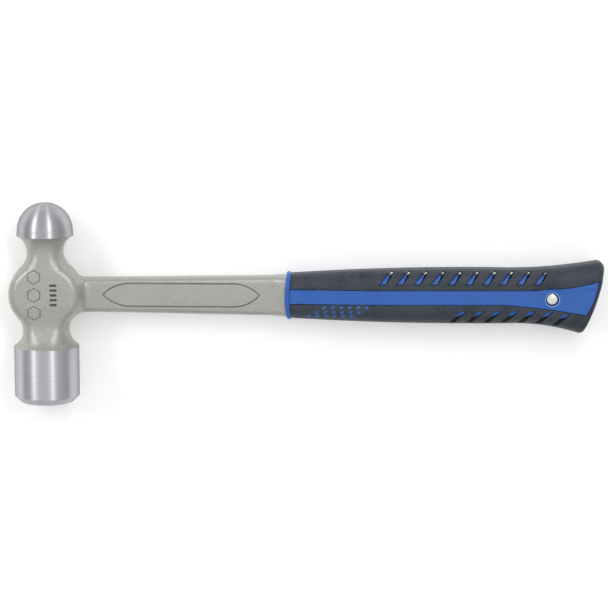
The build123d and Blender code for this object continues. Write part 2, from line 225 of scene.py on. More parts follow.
# Vents and inserts
VENT_PITCH = 9.62
INSERT_DROP = 1.0
INSERT_DEEPENING = 0.06
INSERT_EDGE_R = 0.2
MOAT_DEPTH = 3.2
MOAT_GAP = 0.3
UPPER_VENTS = 10
UPPER_VENT_X = 187.0
UPPER_VENT_Y = 7.14
UPPER_VENT_TOP = 14.4
UPPER_VENT_H = UPPER_VENT_TOP - UPPER_VENT_Y
UPPER_VENT_W = 4.3
UPPER_VENT_TOP_W = 3.2
UPPER_VENT_LEAN = 5.8
UPPER_INSERT_W = 3.3
UPPER_INSERT_TOP_W = 1.9
UPPER_INSERT_SHIFT = 0.5
UPPER_INSERT_GAP = 0.4
LOWER_VENTS = 7
LOWER_VENT_X = 233.3
LOWER_VENT_Y = -7.43
LOWER_VENT_BOTTOM = -14.3
LOWER_VENT_H = LOWER_VENT_Y - LOWER_VENT_BOTTOM
LOWER_VENT_W = 3.8
LOWER_VENT_BOTTOM_W = 3.2
LOWER_VENT_LEAN = -6.35
LOWER_VENT_DROPS = [0.0, 0.0, 0.0, 0.0, 0.09, 0.56, 1.69]
LOWER_INSERT_H = 3.0
LOWER_INSERT_GAP = 0.3
LOWER_INSERT_TAPER = 0.6
LOWER_INSERT_SLANT = 0.38

# Flush dots
DOT_PITCH = 4.76
DOT_COUNT = 6
DOT_W = 1.8
DOT_H = 1.6
DOT_LEAN = 1.07
DOT_PROUD = 0.04
DOT_EDGE_R = 0.15
DOT_ROWS = [(155.4, -5.4), (151.1, -8.2), (146.8, -10.55)]

# Tang
TANG_T = 7.52
TANG_TOP = 9.87
TANG_BOTTOM = -8.93
TANG_END_X = 297.0
TANG_CORNER_R = 1.2
TOOTH_TOP = 14.0
TOOTH_SHIFT = 1.9
TOOTH_W = 1.15
TOOTH_T = 11.0
TOOTH_EDGE_R = 0.3

# Pin
PIN_X = 284.44
PIN_Y = -0.85
PIN_R = 3.15
PIN_EDGE_Z = 10.2
PIN_DOME = 0.42
PIN_DOME_EDGE = 0.25
PIN_DOME_STEPS = 12
PIN_BREAK = 0.08
PIN_BREAK_Z = 0.3
PIN_SIDES = 96
PIN_RECESS_R = 3.7
PIN_RECESS_FLOOR_Z = 9.0
PIN_BEAD_R = 3.95
PIN_BEAD_HALF_W = 0.24
PIN_BEAD_SIDES = 12
PIN_LIP_Z = 11.2

# Meshes made from fields
FORGING_CELL = 0.55
GRIP_CELL = 0.37
TANG_CELL = 0.6
BOX_MARGIN = 0.5
SHANK_BOX_MARGIN = 1.8
SLOPE_STEP = 0.02    # half the span over which a slope is measured
MEAN_PULL = 0.05     # how strongly a vertex keeps to the mean of its cell's crossings
CELL_OVERHANG = 0.1  # how far a vertex may leave its cell, as a share of the cell
FINE_REACH = 1.3     # how far from an engraved line the finer mesh reaches
FINE_LEVELS = 2


def frame_origin():
    """Where the drawing's origin lies in the frame, in metres: found from the pin's box."""
    low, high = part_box("grip_pin")
    centre = (Vector(low) + Vector(high)) / 2
    return centre - Vector((PIN_X, PIN_Y, 0.0)) * MM


ORIGIN = frame_origin()


def place(points):
    """Drawing millimetres to frame metres."""
    return np.asarray(points, float) * MM + np.array(ORIGIN)


# Shapes as distance fields: negative inside a shape, and outside about the distance to it, in mm


def both(a, b):
    """The overlap of two fields."""
    return np.maximum(a, b)


def either(a, b):
    """The union of two fields."""
    return np.minimum(a, b)


def without(a, b):
    """What is in the first field and not in the second."""
    return np.maximum(a, -b)


def round_both(a, b, radius):
    """The overlap of two fields, with its edge rounded."""
    inner = np.minimum(np.maximum(a + radius, b + radius), 0.0)
    return inner + np.hypot(np.maximum(a + radius, 0.0), np.maximum(b + radius, 0.0)) - radius


def blend_either(a, b, width):
    """The union of two fields, with a fillet about as wide as width."""
    mix = np.clip(0.5 + 0.5 * (b - a) / width, 0.0, 1.0)
    return b + (a - b) * mix - width * mix * (1.0 - mix)


def smooth_step(low, high, value):
    """0 up to low, 1 from high on, and an S-shaped rise between."""
    share = np.clip((value - low) / (high - low), 0.0, 1.0)
    return share * share * (3.0 - 2.0 * share)


def rounded_box(u, half_u, v, half_v, corner):
    """A rounded rectangle's field across u and v."""
    return round_both(np.abs(u) - half_u, np.abs(v) - half_v, corner)


def circle_through(a, b, c):
    """Centre and radius of the circle through three points."""
    (ax, ay), (bx, by), (cx, cy) = a, b, c
    twice = 2 * (ax * (by - cy) + bx * (cy - ay) + cx * (ay - by))
    a2, b2, c2 = ax**2 + ay**2, bx**2 + by**2, cx**2 + cy**2
    x = (a2 * (by - cy) + b2 * (cy - ay) + c2 * (ay - by)) / twice
    y = (a2 * (cx - bx) + b2 * (ax - cx) + c2 * (bx - ax)) / twice
    return x, y, hypot(ax - x, ay - y)


def arc_height(x, a, b, c):
    """Y at x on the flat arc through three points."""
    centre_x, centre_y, radius = circle_through(a, b, c)
    side = 1.0 if b[1] > centre_y else -1.0
    return centre_y + side * np.sqrt(np.maximum(radius**2 - (x - centre_x) ** 2, 0.0))


def two_arcs(x, points):
    """Y at x on two arcs, the first through points 0 to 2 and the second through 2 to 4."""
    return np.where(x < points[2][0], arc_height(x, *points[:3]), arc_height(x, *points[2:]))


def flowing(x, points):
    """Y at x on a smooth curve through the points, level at the first."""
    xs = [p[0] for p in points]
    ys = [p[1] for p in points]
    slopes = [0.0]
    for i in range(1, len(xs) - 1):
        slopes.append((ys[i + 1] - ys[i - 1]) / (xs[i + 1] - xs[i - 1]))
    slopes.append((ys[-1] - ys[-2]) / (xs[-1] - xs[-2]))
    result = np.where(x < xs[0], ys[0], ys[-1] + slopes[-1] * (x - xs[-1]))
    for i in range(len(xs) - 1):
        width = xs[i + 1] - xs[i]
        t = np.clip((x - xs[i]) / width, 0.0, 1.0)
        curve = (2 * t**3 - 3 * t**2 + 1) * ys[i] + (t**3 - 2 * t**2 + t) * width * slopes[i]
        curve += (-2 * t**3 + 3 * t**2) * ys[i + 1] + (t**3 - t**2) * width * slopes[i + 1]
        result = np.where((x >= xs[i]) & (x <= xs[i + 1]), curve, result)
    return result


# Fields of the forging


def flare(waist, bend, rise):
    """Half the width of a neck, rise away from its waist, on an arc of radius bend."""
    return waist + bend - np.sqrt(np.maximum(bend**2 - rise**2, 0.0))


def arc_bend(waist, edge, rise):
    """Radius of an arc that is upright at the waist and passes edge, rise above it."""
    return ((edge - waist) ** 2 + rise**2) / (2 * (edge - waist))


def tangent_bend(waist, rise):
    """Radius of a neck arc that is upright at the waist and touches the cheek's circle."""
    return (waist**2 + rise**2 - CHEEK_R**2) / (2 * (CHEEK_R - waist))


NECK_EDGE_R = BALL_RIM_R - TURNED_STEP
POLL_NECK_R = POLL_R - TURNED_STEP
UPPER_CHEEK_BEND = tangent_bend(UPPER_WAIST_R, UPPER_WAIST_Y - CHEEK_Y)
LOWER_CHEEK_BEND = tangent_bend(LOWER_WAIST_R, CHEEK_Y - LOWER_WAIST_Y)
UPPER_TOUCH_Y = CHEEK_Y + (UPPER_WAIST_Y - CHEEK_Y) * CHEEK_R / (CHEEK_R + UPPER_CHEEK_BEND)
LOWER_TOUCH_Y = CHEEK_Y - (CHEEK_Y - LOWER_WAIST_Y) * CHEEK_R / (CHEEK_R + LOWER_CHEEK_BEND)


def neck(from_waist, length, waist, rim):
    """An arc that is upright at the waist and passes the rim, length further along."""
    return flare(waist, arc_bend(waist, rim, length), np.clip(from_waist, 0.0, length))


def head_half_width(y):
    """Half the forged head's width in X: neck arcs that touch the cheek's circle."""
    cheek = np.sqrt(np.maximum(CHEEK_R**2 - (y - CHEEK_Y) ** 2, 0.0))
    upper = flare(UPPER_WAIST_R, UPPER_CHEEK_BEND, UPPER_WAIST_Y - y)
    lower = flare(LOWER_WAIST_R, LOWER_CHEEK_BEND, y - LOWER_WAIST_Y)
    regions = [y > UPPER_WAIST_Y, y > UPPER_TOUCH_Y, y > LOWER_TOUCH_Y, y > LOWER_WAIST_Y]
    to_ball = neck(y - UPPER_WAIST_Y, BALL_RIM_Y - UPPER_WAIST_Y, UPPER_WAIST_R, NECK_EDGE_R)
    to_poll = neck(LOWER_WAIST_Y - y, LOWER_WAIST_Y - POLL_TOP_Y, LOWER_WAIST_R, POLL_NECK_R)
    return np.select(regions, [to_ball, upper, cheek, lower], to_poll)


def head_half_thickness(y):
    """Half the forged head's thickness in Z: nearly flat, and flared at the necks' ends."""
    face = CHEEK_T / 2
    upper = UPPER_WAIST_T / 2
    lower = LOWER_WAIST_T / 2
    above = face + (upper - face) * smooth_step(UPPER_TAPER_Y, UPPER_WAIST_Y, y)
    below = face + (lower - face) * smooth_step(LOWER_TAPER_Y, LOWER_WAIST_T_Y, y)
    to_ball = neck(y - UPPER_WAIST_Y, BALL_RIM_Y - UPPER_WAIST_Y, upper, NECK_EDGE_R)
    to_poll = neck(LOWER_WAIST_T_Y - y, LOWER_WAIST_T_Y - POLL_TOP_Y, lower, POLL_NECK_R)
    regions = [y > UPPER_WAIST_Y, y > CHEEK_Y, y > LOWER_WAIST_T_Y]
    return np.select(regions, [to_ball, above, below], to_poll)


def progress(value, start, end):
    """0 at start and 1 at end, and more beyond it."""
    return (value - start) / (end - start)


def head_field(x, y, z):
    """Rounded, slightly crowned sections across the head, round at the necks' ends."""
    half_width = head_half_width(y)
    half_thickness = head_half_thickness(y)
    to_waist = np.maximum(progress(y, CHEEK_Y, UPPER_WAIST_Y), progress(y, CHEEK_Y, LOWER_WAIST_Y))
    to_ball = progress(y, UPPER_WAIST_Y, BALL_RIM_Y)
    to_poll = progress(y, LOWER_WAIST_Y, POLL_TOP_Y)
    roundness = smooth_step(*NECK_ROUND_FADE, np.maximum(to_ball, to_poll))
    growth = smooth_step(*NECK_CORNER_FADE, to_waist)
    waist_corner = CHEEK_CORNER_R + (NECK_CORNER_R - CHEEK_CORNER_R) * growth
    narrow = NECK_ROUND_SHARE * np.minimum(half_width, half_thickness)
    corner = np.minimum(waist_corner + (narrow - waist_corner) * roundness, narrow)
    crown = HEAD_CROWN * (1.0 - roundness)
    crowned = half_thickness - crown * np.minimum(x / half_width, HEAD_CROWN_REACH) ** 2
    slope = (head_half_width(y + SLOPE_STEP) - head_half_width(y - SLOPE_STEP)) / (2 * SLOPE_STEP)
    slope = slope * (1.0 - roundness)
    from_side = (np.abs(x) - half_width) / np.sqrt(1.0 + slope**2)
    return round_both(from_side, np.abs(z) - crowned, corner)


def shank_top(x):
    """The shank's top edge, with the round fillet that joins it to the cheek."""
    centre_x = sqrt((CHEEK_R + TOP_FILLET_R) ** 2 - (SHANK_TOP - CHEEK_Y + TOP_FILLET_R) ** 2)
    run = np.clip(centre_x - x, 0.0, centre_x * TOP_FILLET_R / (CHEEK_R + TOP_FILLET_R))
    rise = TOP_FILLET_R - np.sqrt(TOP_FILLET_R**2 - run**2)
    slope = (SHANK_END_TOP - SHANK_TOP) / (COLLAR_START_X - SHANK_X)
    return SHANK_TOP + rise + np.maximum(0.0, x - SHANK_X) * slope


def shank_bottom(x):
    """The shank's bottom edge, with the round bay that joins it to the lower neck."""
    centre_x = LOWER_WAIST_R + BAY_R
    run = np.clip(centre_x - x, 0.0, BAY_R)
    drop = BAY_R - np.sqrt(BAY_R**2 - run**2)
    slope = (SHANK_END_BOTTOM - SHANK_BOTTOM) / (COLLAR_START_X - SHANK_X)
    return SHANK_BOTTOM - drop + np.maximum(0.0, x - SHANK_X) * slope


def shank_field(x, y, z):
    """A crowned bar, thicker where it leaves the cheek and before the collar."""
    top = shank_top(x)
    bottom = shank_bottom(x)
    middle = (top + bottom) / 2
    half_h = (top - bottom) / 2
    half_t = SHANK_T / 2 - SHANK_CROWN * ((y - middle) / half_h) ** 2
    into_root = np.clip((SHANK_ROOT_END_X - x) / SHANK_ROOT_RUN, 0.0, 1.0)
    half_t += SHANK_ROOT_GROWTH * into_root**2
    swell_end_x = COLLAR_START_X + SHANK_SWELL_IN_COLLAR
    half_t += SHANK_SWELL * smooth_step(SHANK_SWELL_START_X, swell_end_x, x)
    side = rounded_box(y - middle, half_h, z, half_t, SHANK_CORNER_R)
    return both(both(side, SHANK_ROOT_START_X - x), x - COLLAR_START_X - SHANK_END_IN_COLLAR)


def forging_field(x, y, z):
    """Head and shank, joined by a fillet that is wide only on their broad faces."""
    head = both(head_field(x, y, z), y - BALL_RIM_Y - NECK_OVERLAP)
    head = both(head, POLL_TOP_Y - NECK_OVERLAP - y)
    inside_edges = np.minimum(SHANK_TOP - y, y - SHANK_BOTTOM)
    share = smooth_step(*ROOT_FADE_Z, np.abs(z)) * smooth_step(*ROOT_FADE_X, x)
    share = share * smooth_step(*ROOT_FADE_EDGE, inside_edges)
    fillet = ROOT_FILLET_MIN + (ROOT_FILLET - ROOT_FILLET_MIN) * share
    return blend_either(head, shank_field(x, y, z), fillet)


def leaf_end_distance(x, height, side_x, tip_x):
    """Distance from the arc that closes the leaf between its straight side and its tip."""
    radius = ((tip_x - side_x) ** 2 + LEAF_HALF_H**2) / (2 * LEAF_HALF_H)
    return np.abs(np.hypot(x - side_x, height - LEAF_HALF_H + radius) - radius)


def leaf_distance(x, y):
    """Distance from the leaf outline on the shank."""
    axis = LEAF_START_Y + (LEAF_END_Y - LEAF_START_Y) * (x - LEAF_START_X) / (LEAF_END_X - LEAF_START_X)
    height = np.abs(y - axis)
    start = leaf_end_distance(x, height, LEAF_SIDE_START_X, LEAF_START_X)
    end = leaf_end_distance(x, height, LEAF_SIDE_END_X, LEAF_END_X)
    side = np.abs(height - LEAF_HALF_H)
    near = np.where(x < LEAF_SIDE_START_X, start, np.where(x > LEAF_SIDE_END_X, end, side))
    outside = np.maximum(LEAF_START_X - x, x - LEAF_END_X)
    return np.where(outside > 0, np.hypot(near, outside), near)


def mark_distance(x, y):
    """Distance from the nearest of the three hexagon outlines."""
    row = np.clip(np.round((y - MARK_Y) / MARK_PITCH), -1, 1)
    u = np.abs(x - MARK_X)
    v = np.abs(y - MARK_Y - row * MARK_PITCH)
    flat = MARK_R * cos(pi / 6)
    hexagon = np.maximum(u, u * 0.5 + v * cos(pi / 6)) - flat
    return np.abs(hexagon)


def groove_depth(distance, width, depth):
    """A rounded groove's depth at this distance from its middle line."""
    return depth * (1.0 - smooth_step(GROOVE_FLOOR_SHARE * width, width / 2, distance))


# Fields of the grip


def inside_arc(x, y, points):
    """The field of what lies to the left of an arc that bulges to the right."""
    centre_x, centre_y, radius = circle_through(*points)
    return np.hypot(np.maximum(x - centre_x, 0.0), y - centre_y) - radius


def grip_field(x, y, z, inset):
    """The grip's outer shape, drawn in by inset."""
    top = two_arcs(x, GRIP_TOP_ARCS) - inset
    bottom = two_arcs(x, GRIP_BOTTOM_ARCS) + inset
    middle = (top + bottom) / 2
    half_h = (top - bottom) / 2
    widening = smooth_step(COLLAR_END_X, GRIP_FULL_T_X, x)
    half_t = (GRIP_START_T + (GRIP_T - GRIP_START_T) * widening) / 2 - inset
    half_t = half_t - GRIP_CROWN * np.clip((y - middle) / half_h, -1.0, 1.0) ** 2
    past_panel = smooth_step(0.0, PANEL_STEP_W, x - PANEL_END_X - PANEL_LEAN * (y - PANEL_END_Y))
    half_t = half_t + PANEL_STEP * past_panel * smooth_step(*PANEL_STEP_FADE_Y, y)
    side = rounded_box(y - middle, half_h, z, half_t, GRIP_CORNER_R - inset)
    corner = BUTT_EDGE_R + (BUTT_TOP_CORNER_R - BUTT_EDGE_R) * smooth_step(*BUTT_CORNER_FADE_Y, y)
    end = inside_arc(x, y, BUTT_ARC) + inset
    return both(round_both(side, end, corner), COLLAR_END_X + collar_bow(y) - x)


def collar_bow(y):
    """How far the collar's faces curve back from its middle."""
    return COLLAR_BOW * np.minimum((2 * y / COLLAR_H) ** 2, COLLAR_BOW_REACH)


def stripe_field(x, y):
    """The long stripe, a little higher near the collar and flared where it meets it."""
    drift = STRIPE_DRIFT * (1.0 - smooth_step(COLLAR_END_X, STRIPE_DRIFT_END_X, x))
    root = STRIPE_ROOT_W * np.clip(1.0 - (x - COLLAR_END_X) / STRIPE_ROOT_RUN, 0.0, 2.0) ** 2
    upper = y - drift - root - flowing(x, STRIPE_UPPER)
    lower = flowing(x, STRIPE_LOWER) + drift - root - y
    return both(both(upper, lower), inside_arc(x, y, STRIPE_END_ARC))


def nearest_number(along, pitch, count):
    """Which of count things in a row, pitch apart, is nearest."""
    return np.clip(np.round(along / pitch), 0, count - 1)


def slanted(x, y, start_x, width, end_width, start_y, height, lean):
    """A slot from start_y, height away in Y (down if negative), shifted by lean at its far end."""
    share = (y - start_y) / height
    left = start_x + lean * share
    right = left + width + (end_width - width) * share
    length = np.abs(height)
    sides = np.maximum(left - x, x - right) * length / np.hypot(height, lean)
    ends = np.maximum(-share, share - 1.0) * length
    return np.maximum(sides, ends)


def upper_slots(x, y, height, width, end_width, shift=0.0):
    """The row of slots above the stripe; each leans towards the butt as it rises."""
    middle = UPPER_VENT_X + UPPER_VENT_W / 2 + UPPER_VENT_LEAN * (y - UPPER_VENT_Y) / UPPER_VENT_H
    i = nearest_number(x - middle, VENT_PITCH, UPPER_VENTS)
    start_x = UPPER_VENT_X + shift + VENT_PITCH * i
    lean = UPPER_VENT_LEAN * height / UPPER_VENT_H
    return slanted(x, y, start_x, width, end_width, UPPER_VENT_Y, height, lean)


def lower_slots(x, y, height, width, end_width, slant=0.0):
    """The row of slots below the stripe; each leans towards the head as it falls."""
    middle = LOWER_VENT_X + LOWER_VENT_W / 2 + LOWER_VENT_LEAN * (LOWER_VENT_Y - y) / LOWER_VENT_H
    i = nearest_number(x - middle, VENT_PITCH, LOWER_VENTS).astype(int)
    start_x = LOWER_VENT_X + VENT_PITCH * i
    start_y = LOWER_VENT_Y - np.array(LOWER_VENT_DROPS)[i]
    height = height - slant * (x - middle - VENT_PITCH * i)
    lean = LOWER_VENT_LEAN * height / LOWER_VENT_H
    return slanted(x, y, start_x, width, end_width, start_y, -height, lean)


def vent_field(x, y):
    upper = upper_slots(x, y, UPPER_VENT_H, UPPER_VENT_W, UPPER_VENT_TOP_W)
    lower = lower_slots(x, y, LOWER_VENT_H, LOWER_VENT_W, LOWER_VENT_BOTTOM_W)
    return either(upper, lower)


def insert_field(x, y):
    """The core's inserts, a little smaller than the vents that they stand in."""
    height = CORE_TOP - UPPER_VENT_Y
    upper = upper_slots(x, y, height, UPPER_INSERT_W, UPPER_INSERT_TOP_W, UPPER_INSERT_SHIFT)
    upper = both(upper, UPPER_VENT_Y + UPPER_INSERT_GAP - y)
    width = LOWER_VENT_W - LOWER_INSERT_GAP
    lower = lower_slots(x, y, LOWER_INSERT_H, width, width - LOWER_INSERT_TAPER, LOWER_INSERT_SLANT)
    return either(upper, lower)


def dot_field(x, y):
    nearest = None
    for start_x, row_y in DOT_ROWS:
        share = (y - row_y) / DOT_H + 0.5
        middle = start_x + DOT_W / 2 + DOT_LEAN * share
        dot_x = start_x + DOT_PITCH * nearest_number(x - middle, DOT_PITCH, DOT_COUNT)
        dot = slanted(x, y, dot_x, DOT_W, DOT_W, row_y - DOT_H / 2, DOT_H, DOT_LEAN)
        nearest = dot if nearest is None else either(nearest, dot)
    return nearest


def core_body_field(x, y, z):
    band = both(y - CORE_TOP, CORE_BOTTOM - y)
    return both(grip_field(x, y, z, COVER_T), band)


def overmould_field(x, y, z):
    """The grip's skin, open at the vents, the stripe and the dots."""
    skin = grip_field(x, y, z, 0.0)
    skin = round_both(skin, -vent_field(x, y), COVER_EDGE_R)
    skin = round_both(skin, STRIPE_GAP - stripe_field(x, y), COVER_EDGE_R)
    skin = without(skin, dot_field(x, y))
    return without(skin, core_body_field(x, y, z))


def tang_field(x, y, z):
    """A flat bar with slanted teeth that show in the upper slots."""
    middle = (TANG_TOP + TANG_BOTTOM) / 2
    bar = rounded_box(y - middle, (TANG_TOP - TANG_BOTTOM) / 2, z, TANG_T / 2, TANG_CORNER_R)
    bar = both(both(bar, COLLAR_START_X - x), x - TANG_END_X)
    teeth = upper_slots(x, y, TOOTH_TOP - UPPER_VENT_Y, TOOTH_W, TOOTH_W, TOOTH_SHIFT)
    bar = either(bar, round_both(teeth, np.abs(z) - TOOTH_T / 2, TOOTH_EDGE_R))
    return without(bar, np.hypot(x - PIN_X, y - PIN_Y) - PIN_R)


def collar_field(x, y, z):
    section = rounded_box(y, COLLAR_H / 2, z, COLLAR_T / 2, GRIP_CORNER_R)
    middle = (COLLAR_START_X + COLLAR_END_X) / 2
    length = np.abs(x - middle - collar_bow(y)) - (COLLAR_END_X - COLLAR_START_X) / 2
    return round_both(section, length, COLLAR_EDGE_R)


def core_field(x, y, z):
    """The blue core: body, stripe, dots, collar, and inserts that each stand in a moat."""
    stripe = round_both(grip_field(x, y, z, -STRIPE_PROUD), stripe_field(x, y), STRIPE_EDGE_R)
    drop = INSERT_DROP + INSERT_DEEPENING * np.maximum(np.abs(y) - UPPER_VENT_Y, 0.0)
    inserts = round_both(grip_field(x, y, z, drop), insert_field(x, y), INSERT_EDGE_R)
    dots = round_both(grip_field(x, y, z, -DOT_PROUD), dot_field(x, y), DOT_EDGE_R)
    core = either(either(core_body_field(x, y, z), stripe), either(inserts, dots))
    round_inserts = both(vent_field(x, y), MOAT_GAP - insert_field(x, y))
    core = without(core, both(round_inserts, -grip_field(x, y, z, MOAT_DEPTH)))
    core = either(core, collar_field(x, y, z))
    core = without(core, tang_field(x, y, z))
    from_pin = np.hypot(x - PIN_X, y - PIN_Y)
    core = without(core, from_pin - PIN_R)
    return without(core, both(from_pin - PIN_RECESS_R, PIN_RECESS_FLOOR_Z - np.abs(z)))


# Fields to meshes


def gradient(field, points):
    """Unit normals of a field at these points."""
    parts = []
    for axis in range(3):
        step = np.zeros(3)
        step[axis] = SLOPE_STEP
        ahead = field(*(points + step).T)
        behind = field(*(points - step).T)
        parts.append(ahead - behind)
    normals = np.stack(parts, axis=1)
    return normals / np.maximum(np.linalg.norm(normals, axis=1, keepdims=True), 1e-9)


def moved_along(points, axis, distance):
    result = points.copy()
    result[:, axis] += distance
    return result


def crossings(field, values, axis, origin, step):
    """Where the grid's edges along one axis pass through the surface.

    Returns the lower node of each edge, the crossing point and True where the inside is below."""
    below = np.moveaxis(values, axis, 0)[:-1]
    above = np.moveaxis(values, axis, 0)[1:]
    hit = np.moveaxis((below < 0) != (above < 0), 0, axis)
    nodes = np.argwhere(hit)
    low = np.moveaxis(below, 0, axis)[hit]
    high = np.moveaxis(above, 0, axis)[hit]
    start = origin + nodes * step
    share = low / (low - high)
    for _ in range(2):
        value = field(*moved_along(start, axis, share * step).T)
        same = (value < 0) == (low < 0)
        low_share = np.where(same, share, 0.0)
        high_share = np.where(same, 1.0, share)
        low_value = np.where(same, value, low)
        high_value = np.where(same, high, value)
        share = low_share + (high_share - low_share) * low_value / (low_value - high_value)
    return nodes, moved_along(start, axis, share * step), low < 0


def cell_sums(cell, values, total):
    """For each cell, the sum of the rows of values that belong to it."""
    return np.stack([np.bincount(cell, values[:, i], total) for i in range(3)], 1)


def meeting_points(points, normals, cell, total):
    """For each cell, where the tangent planes of its crossings meet, or nearly so.

    Each crossing borders four cells; cell holds their numbers, four after four."""
    points = np.repeat(points, 4, axis=0)
    normals = np.repeat(normals, 4, axis=0)
    hits = np.bincount(cell, minlength=total)
    mean = cell_sums(cell, points, total) / hits[:, None]
    offset = np.sum(normals * (points - mean[cell]), axis=1)
    right = cell_sums(cell, normals * offset[:, None], total)
    matrix = np.empty((total, 3, 3))
    for i in range(3):
        for j in range(3):
            matrix[:, i, j] = np.bincount(cell, normals[:, i] * normals[:, j], total)
    matrix += np.eye(3) * MEAN_PULL * hits[:, None, None]
    return mean + np.linalg.solve(matrix, right[:, :, None])[:, :, 0]


def contour(field, low, high, step):
    """The field's surface as quads: one vertex in each cell that it passes through, placed where
    the tangent planes of the cell's crossings meet, so that sharp edges stay sharp."""
    origin = np.array(low, float) - step
    counts = np.ceil((np.array(high, float) - origin) / step).astype(int) + 2
    axes = [origin[i] + np.arange(counts[i]) * step for i in range(3)]
    x, y, z = np.meshgrid(*axes, indexing="ij", sparse=True)
    values = np.ascontiguousarray(np.broadcast_to(field(x, y, z), counts))
    cells = []
    points = []
    quads = []
    for axis in range(3):
        nodes, where, inside_below = crossings(field, values, axis, origin, step)
        u = (axis + 1) % 3
        v = (axis + 2) % 3
        around = np.repeat(nodes[:, None, :], 4, axis=1)
        around[:, (0, 3), u] -= 1
        around[:, (0, 1), v] -= 1
        ids = np.ravel_multi_index(tuple(np.moveaxis(around, 2, 0)), tuple(counts))
        quads.append(np.where(inside_below[:, None], ids, ids[:, ::-1]))
        cells.append(ids)
        points.append(where)
    points = np.concatenate(points)
    used, index = np.unique(np.concatenate(cells), return_inverse=True)
    vertices = meeting_points(points, gradient(field, points), index.ravel(), len(used))
    corner = origin + np.stack(np.unravel_index(used, tuple(counts)), 1) * step
    lowest = corner - CELL_OVERHANG * step
    highest = corner + (1.0 + CELL_OVERHANG) * step
    return np.clip(vertices, lowest, highest), np.searchsorted(used, np.concatenate(quads))


def new_object(name, data):
    """A new object in the scene."""
    item = bpy.data.objects.new(name, data)
    bpy.context.scene.collection.objects.link(item)
    return item


def new_piece(name, vertices, faces, sharp_angle, material, node):
    """A mesh object from drawing millimetres, smooth but for edges past sharp_angle degrees.

    It rides on the only body, and hides the CAD node that it stands for."""
    mesh = bpy.data.meshes.new(name)
    mesh.from_pydata(place(vertices).tolist(), [], faces)
    mesh.validate()
    mesh.shade_smooth()
    mesh.set_sharp_from_angle(angle=radians(sharp_angle))
    mesh.materials.append(material)
    piece = new_object(name, mesh)
    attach(piece, "root")
    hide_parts(node)
    return piece


def forging_piece(name, vertices, faces, sharp_angle, material):
    """A piece that stands for a part of the one forging."""
    return new_piece(name, vertices, faces, sharp_angle, material, "forged_head_and_shank")


def set_point_values(piece, name, values):
    """Stores a number for each of a piece's points, for its material."""
    attribute = piece.data.attributes.new(name, "FLOAT", "POINT")
    attribute.data.foreach_set("value", values.astype(np.float32))


def lathe(profile, sides):
    """Vertices and faces of a profile of (radius, height) turned about the height axis.

    Points of radius 0 at the ends close it. Columns of the result are (across, height, depth)."""
    vertices = []
    rings = []
    for radius, height in profile:
        if radius == 0:
            rings.append([len(vertices)] * sides)
            vertices.append((0.0, height, 0.0))
            continue
        rings.append(list(range(len(vertices), len(vertices) + sides)))
        for i in range(sides):
            angle = 2 * pi * i / sides
            vertices.append((radius * cos(angle), height, radius * sin(angle)))
    faces = []
    for lower, upper in zip(rings, rings[1:]):
        for i in range(sides):
            j = (i + 1) % sides
            corners = [lower[i], upper[i], upper[j], lower[j]]
            faces.append(list(dict.fromkeys(corners)))
    return np.array(vertices), faces


# Materials


def put(socket, value):
    """Links a socket to another node's output, or sets it."""
    if isinstance(value, bpy.types.NodeSocket):
        socket.id_data.links.new(value, socket)
    else:
        socket.default_value = value


def fill(node, **values):
    """Fills a node's sockets by name, with _ for a space."""
    for name, value in values.items():
        put(node.inputs[name.replace("_", " ")], value)


def add(tree, kind, **values):
    """A new shader node, with its sockets and its settings given by name."""
    node = tree.nodes.new("ShaderNode" + kind)
    for name, value in values.items():
        socket = node.inputs.get(name.replace("_", " "))
        if socket is None:
            setattr(node, name, value)
        else:
            put(socket, value)
    return node


def new_material(name):
    """A material, its node tree, its shader and its object coordinates."""
    material = bpy.data.materials.new(name)
    material.use_nodes = True
    tree = material.node_tree
    where = add(tree, "TexCoord").outputs["Object"]
    return material, tree, tree.nodes["Principled BSDF"], where


def noise(tree, where, scale, detail=2.0, roughness=0.5):
    """A noise of this scale per metre."""
    node = add(tree, "TexNoise", Vector=where, Scale=scale, Detail=detail, Roughness=roughness)
    return node.outputs["Fac"]


def ramp(tree, value, *stops):
    """A colour that runs through the stops, each a (position, colour)."""
    node = add(tree, "ValToRGB", Fac=value)
    band = node.color_ramp
    while len(band.elements) < len(stops):
        band.elements.new(0.5)
    for element, (position, colour) in zip(band.elements, stops):
        element.position = position
        element.color = (*colour, 1.0)
    return node.outputs["Color"]


def scaled_range(tree, value, low, high):
    node = add(tree, "MapRange", Value=value, To_Min=low, To_Max=high)
    return node.outputs["Result"]


def mixed(tree, blend, share, first, second):
    """Two colours mixed by share. A Mix node's colour sockets are told apart only by number."""
    node = add(tree, "Mix", data_type="RGBA", blend_type=blend)
    for number, value in ((0, share), (6, first), (7, second)):
        put(node.inputs[number], value)
    return node.outputs[2]


def maths(tree, operation, *values):
    node = add(tree, "Math", operation=operation)
    for socket, value in zip(node.inputs, values):
        put(socket, value)
    return node.outputs[0]


def point_values(tree, name):
    return add(tree, "Attribute", attribute_name=name).outputs["Fac"]


def bump(tree, height, strength, distance, **under):
    """A surface normal tilted by this height; Normal= gives another bump that it lies on."""
    node = add(tree, "Bump", Height=height, Strength=strength, Distance=distance, **under)
    return node.outputs["Normal"]


